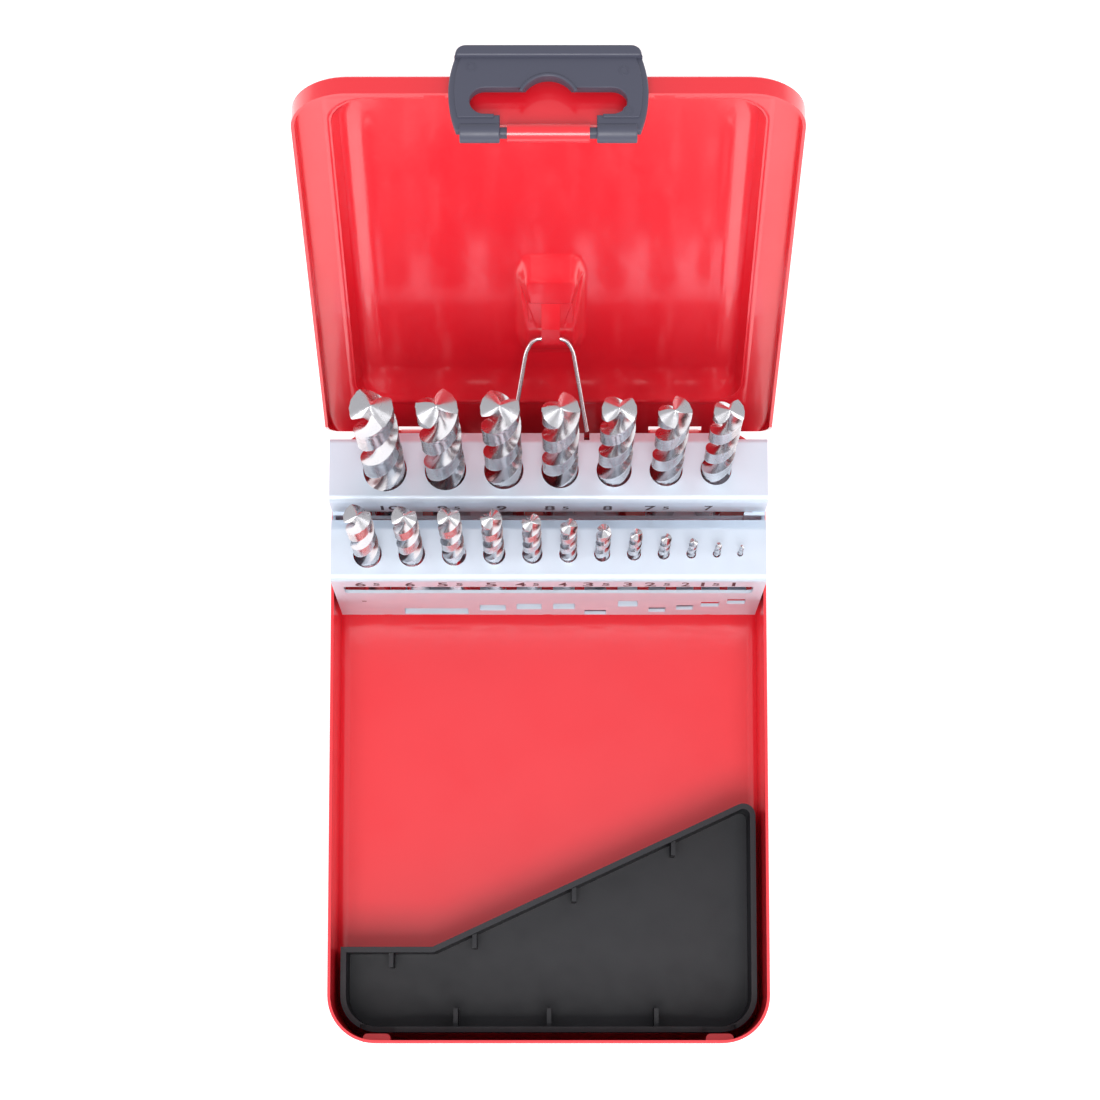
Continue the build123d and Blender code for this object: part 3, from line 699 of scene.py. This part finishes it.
# %% Drill sizes
drill_length = {
    1: 34, 1.5: 40, 2: 49, 2.5: 57, 3: 61, 3.5: 70, 4: 75, 4.5: 80, 5: 86, 5.5: 93,
    6: 93, 6.5: 101, 7: 109, 7.5: 109, 8: 117, 8.5: 117, 9: 125, 9.5: 125, 10: 133,
}
flute_length = {
    1: 12, 1.5: 18, 2: 24, 2.5: 30, 3: 33, 3.5: 39, 4: 43, 4.5: 47, 5: 52, 5.5: 57,
    6: 57, 6.5: 63, 7: 69, 7.5: 69, 8: 75, 8.5: 75, 9: 81, 9.5: 81, 10: 87,
}
rear_drills = (10, 9.5, 9, 8.5, 8, 7.5, 7)
helix_angle = radians(28.0)
point_half_angle = radians(59.0)
land_share = 0.50           # of each half turn
margin_share = 0.07
web_share = 0.20            # core between the flutes, of the diameter
land_relief = 0.97          # land behind the margin, of the radius
flute_lean, flute_fullness = 1.3, 0.75
shank_share = 0.985         # shank, of the diameter over the lands
foot_share = 0.86           # foot's flat, inside its chamfer
runout_share = 1.2          # flute's run-out, in diameters
print("drill sizes:", len(drill_length))

# %% [markdown]
# ## Drill's section
# Across its axis a drill shows two lands and two flutes. Points stand close together
# where the flute is deep, and the margin is a narrow strip at full radius.

# %% Drill's section
def section_columns():
    """Angles of the section's points: few on each land, more across each flute."""
    land = np.array([0.0, margin_share, margin_share + 0.004, 0.2, 0.33, 0.46, land_share])
    across = 0.5 - 0.5 * np.cos(np.linspace(0, pi, 15))
    flute = land_share + (1 - land_share) * across[1:-1]
    half = np.concatenate([land, flute]) * pi
    return np.concatenate([half, half + pi])


def drill_outline(angle, radius):
    """Distance from the axis at an angle: the radius on each margin, a little less on
    the land behind it, and down to the web across the flute, as a power of half a sine
    wave that is steeper on the side of the next cutting edge."""
    share = np.mod(angle, pi) / pi
    across = np.clip((share - land_share) / (1 - land_share), 0, 1)
    depth = np.sin(pi * across ** flute_lean) ** flute_fullness
    land = np.where(share > margin_share + 0.002, land_relief, 1.0)
    flute = land * (1 - (1 - web_share) * depth)
    return radius * np.where(across > 0, flute, land)


print("points round a drill:", len(section_columns()))

# %% [markdown]
# ## Drill's surface
# Rows of the same section climb the drill and turn as they climb. The flutes run out
# over a short length, and four smaller rows close the ground point.

# %% Drill's surface
def drill_grid(size):
    """Points of a drill standing on Z = 0: rows climb the shank, the fluted part and
    the cone, columns go round."""
    radius = size / 2
    length = drill_length[size]
    start = length - flute_length[size]
    lead = pi * size / tan(helix_angle)
    point = radius / tan(point_half_angle)
    climb = int(30 * flute_length[size] / lead) + 6
    fluted = np.linspace(start, length - point, climb)
    heights = np.concatenate([[0.0, 0.15 * radius, start - 0.02 * size], fluted])
    height, a = np.meshgrid(heights, section_columns(), indexing="ij")
    runout = np.clip((height - start) / (runout_share * size), 0, 1)
    runout = runout * runout * (3 - 2 * runout)
    reach = radius * (1 - runout) * shank_share + drill_outline(a, radius) * runout
    reach[0] = reach[0] * foot_share
    turn = a + 2 * pi * np.clip(height - start, 0, None) / lead
    body = np.stack([reach * np.cos(turn), reach * np.sin(turn), height], axis=-1)
    body[-1, :, 2] = length - reach[-1] / tan(point_half_angle)
    shrink = np.array([0.86, 0.62, 0.36, 0.12])[:, None]
    rim = reach[-1][None, :] * shrink
    lips = np.stack(
        [rim * np.cos(turn[-1]), rim * np.sin(turn[-1]),
         length - rim / tan(point_half_angle)], axis=-1)
    return np.concatenate([body, lips])


def twist_drill(size, place):
    """Closed drill mesh: the grid with its foot and its point filled."""
    points = drill_grid(size)
    rows, columns, _ = points.shape
    faces = [list(face) for face in grid_faces(rows, columns)]
    flat = points.reshape(-1, 3)
    foot, tip = len(flat), len(flat) + 1
    flat = np.concatenate([flat, [[0, 0, 0], [0, 0, drill_length[size] - 0.002 * size]]])
    ring = np.arange(columns)
    after = (ring + 1) % columns
    top = (rows - 1) * columns
    faces += np.stack([after, ring, np.full(columns, foot)], 1).tolist()
    faces += np.stack([top + ring, top + after, np.full(columns, tip)], 1).tolist()
    name = "twist_drill_" + str(size).replace(".", "_")
    return make_piece(name, flat, faces, tool_steel, place, sharp=38.0)


print("rows and columns of the largest drill:", drill_grid(10).shape[:2])

# %% [markdown]
# ## Drills in their holes
# Every drill is a node of its own in the solid model and slides out of its hole. Its
# foot and its row are read from that node, so the fluted drill takes the same place. The
# drills were dropped in by hand, so each is turned by its own angle.

# %% Stand the drills in their holes
def node_name(size):
    """CAD node of one drill."""
    return "drill_" + str(size).replace(".", "_")


def standing_place(size):
    """Frame at a drill's foot, from its CAD node: the node's lowest end and its lean."""
    low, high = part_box(node_name(size))
    x = (low.x + high.x) / 2
    radius = size * mm / 2
    row = (rear_row if size in rear_drills else front_row) * mm
    foot_z = low.z + radius * sin(holder_lean)
    up = (foot_z - pivot.z * mm + row * sin(holder_lean)) / cos(holder_lean)
    return holder_place @ Matrix.Translation((x, row, up))


# turned about its axis, in degrees, by size
turned = {10: -32, 9.5: 23, 9: 125, 8.5: 13, 8: 122, 7.5: 175, 7: -77, 6.5: 80, 6: 100,
          5.5: 53, 5: 100, 4.5: 90, 4: 83, 3.5: 130, 3: 80, 2.5: 5, 2: 110, 1.5: 50, 1: 90}
for size in drill_length:
    place = standing_place(size) @ Matrix.Rotation(radians(turned[size]), 4, "Z")
    piece = twist_drill(size, place)
    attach(piece, node_name(size))
    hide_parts(node_name(size))
print("drills:", len(drill_length))


# %% [markdown]
# ## Stamped sizes
# Each hole's size is stamped on the plate below it. Blender's own letters are turned
# into thin flat meshes and laid a few hundredths of a millimetre proud of the plate,
# because cutting them into the sheet would need far more faces for the same look. Their
# dark colour is dirt and painted shade, standing in for the shadow in the stamped recess.

# %% Stamp helper
cap_share = 0.7                      # height of a figure, of the letters' size
figure_thick, figure_bold = 0.012, 0.02


def letters_mesh(text, height):
    """Flat, slightly thick mesh of a text, its left end on the origin; millimetres."""
    curve = bpy.data.curves.new("letters", "FONT")
    curve.body = text
    curve.size = height / cap_share
    curve.extrude = figure_thick
    curve.offset = figure_bold * height
    curve.resolution_u = 3
    letters = bpy.data.objects.new("letters", curve)
    bpy.context.scene.collection.objects.link(letters)
    bpy.context.view_layer.update()
    mesh = bpy.data.meshes.new_from_object(letters)
    bpy.data.objects.remove(letters)
    return mesh


print("figures are", figure_thick * 2, "mm thick")

# %% [markdown]
# ## One stamp
# The whole number stands at the left and its half, smaller and raised, at the right. The
# pair is squeezed to the width that the punch leaves on the sheet.

# %% One stamp
half_share, half_lift = 0.66, 0.17   # the small figure, of the large one's height
half_gap = 0.45
mark_proud = 0.015


def stamp(text, left, right, face_y, centre_z, height=4.9):
    """Size stamped on a holder's plate between two X places: whole number large, the
    half small behind it."""
    whole, _, half = text.partition(".")
    parts = [(whole, height, 0.0)]
    if half:
        parts.append((half, height * half_share, height * half_lift))
    meshes = [letters_mesh(part, size) for part, size, _ in parts]
    starts = [min(v.co.x for v in mesh.vertices) for mesh in meshes]
    widths = [max(v.co.x for v in mesh.vertices) - start
              for mesh, start in zip(meshes, starts)]
    gap = half_gap * height if half else 0.0
    squeeze = (right - left) / (sum(widths) + gap)
    x = left
    for mesh, start, width, (part, size, lift) in zip(meshes, starts, widths, parts):
        foot = (x - start * squeeze, face_y - mark_proud, centre_z - height / 2 + lift)
        stand = Matrix.Translation([value * mm for value in foot])
        upright = Matrix.Rotation(pi / 2, 4, "X")
        mesh.transform(
            holder_place @ stand @ upright @ Matrix.Diagonal((squeeze * mm, mm, mm, 1)))
        # figures get the dark finish: dirt plus painted shade of the stamped recess
        mesh.materials.clear()
        mesh.materials.append(stamp_dirt_and_shade)
        mesh.name = "number_" + text.replace(".", "_").replace("-", "dash") + (
            "_half" if lift else "")
        piece = bpy.data.objects.new(mesh.name, mesh)
        bpy.context.scene.collection.objects.link(piece)
        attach(piece, "holder")
        x += (width + gap) * squeeze


print("stamp ready")

# %% [markdown]
# ## All the numbers
# Each number has its left and right edge, in millimetres from the middle of its plate.
# The dash is a small press mark low on the front plate.

# %% All the numbers
rear_number_z, front_number_z, dash_z = 45.0, 39.0, 16.2
rear_numbers = {
    "10": (-40.0, -35.6), "9.5": (-26.5, -21.1), "9": (-12.4, -10.0), "8.5": (-1.0, 4.8),
    "8": (12.9, 15.2), "7.5": (22.9, 28.7), "7": (37.1, 39.1),
}
front_numbers = {
    "6.5": (-46.3, -40.4), "6": (-34.3, -32.0), "5.5": (-26.6, -20.5), "5": (-15.1, -12.4),
    "4.5": (-8.0, -2.3), "4": (2.4, 4.4), "3.5": (8.2, 14.6), "3": (17.9, 20.0),
    "2.5": (23.0, 29.1), "2": (31.8, 33.8), "1.5": (36.5, 40.9), "1": (43.9, 44.7),
}
for text, (left, right) in rear_numbers.items():
    stamp(text, left, right, rear_face, rear_number_z)
for text, (left, right) in front_numbers.items():
    stamp(text, left, right, front_face, front_number_z)
stamp("-", -45.9, -44.8, front_face, dash_z)
print("numbers:", len(rear_numbers) + len(front_numbers))

# %% [markdown]
# ## Studio
# A pale floor, a soft light from above and a bright surround show the enamel's gloss
# and the steel's edges. The camera stands high in front of the case with a long lens.

# %% Floor
def flat_floor(half, material):
    """Square plane at Z = 0: corners of a two by two grid."""
    side = np.array([-half, half])
    x, y = np.meshgrid(side, side, indexing="ij")
    points = np.stack([x, y, np.full_like(x, -0.02)], axis=-1)
    return make_piece("floor", points, [[0, 2, 3, 1]], material)


pale_floor, tree, shader = finish(
    "pale_floor", (0.80, 0.80, 0.80), roughness=0.8,
    Emission_Color=(1.0, 1.0, 1.0, 1.0), Emission_Strength=0.5)
spread(tree, noise(tree, 3.0), shader.inputs["Roughness"], 0.75, 0.85)
floor = flat_floor(4000.0, pale_floor)
print("floor laid")


# %% [markdown]
# ## Lights
# One soft box stands high in front, like a lamp over a table, and two weaker ones at the
# sides keep the walls of the case from going dark. The sky fills the rest.

# %% Lights
def soft_light(name, place, target, size, power):
    """Square area light aimed at a point."""
    light = bpy.data.lights.new(name, "AREA")
    light.size = size
    light.energy = power
    lamp = bpy.data.objects.new(name, light)
    lamp.location = place
    aim = Vector(target) - Vector(place)
    lamp.rotation_euler = aim.to_track_quat("-Z", "Y").to_euler()
    bpy.context.scene.collection.objects.link(lamp)
    return lamp


soft_light("front_softbox", (0.0, -0.68, 1.6), (0, 0, 0.05), 0.75, 18.0)
soft_light("left_softbox", (-1.3, -0.5, 0.7), (0, 0.05, 0.08), 0.7, 5.0)
soft_light("right_softbox", (1.3, -0.5, 0.7), (0, 0.05, 0.08), 0.7, 5.0)
world = bpy.data.worlds.new("studio")
world.use_nodes = True
world.node_tree.nodes["Background"].inputs["Color"].default_value = (0.97, 0.97, 1.0, 1)
world.node_tree.nodes["Background"].inputs["Strength"].default_value = 0.76
bpy.context.scene.world = world
print("lights:", len(bpy.data.lights))

# %% [markdown]
# ## Camera
# A long lens high over the front edge looks almost straight down, so the case keeps its
# proportions and the open lid still shows its inside.

# %% Camera
lens = bpy.data.cameras.new("camera")
lens.sensor_width = 36.0
lens.lens = 111.4
lens.clip_end = 20.0
camera = bpy.data.objects.new("camera", lens)
camera.location = (0.00033, -0.08017, 0.86207)
camera.rotation_euler = (radians(8.603), 0.0, 0.0)
bpy.context.scene.collection.objects.link(camera)
bpy.context.scene.camera = camera
bpy.context.scene.view_settings.view_transform = "Standard"
print("lens", round(lens.lens, 1), "mm")
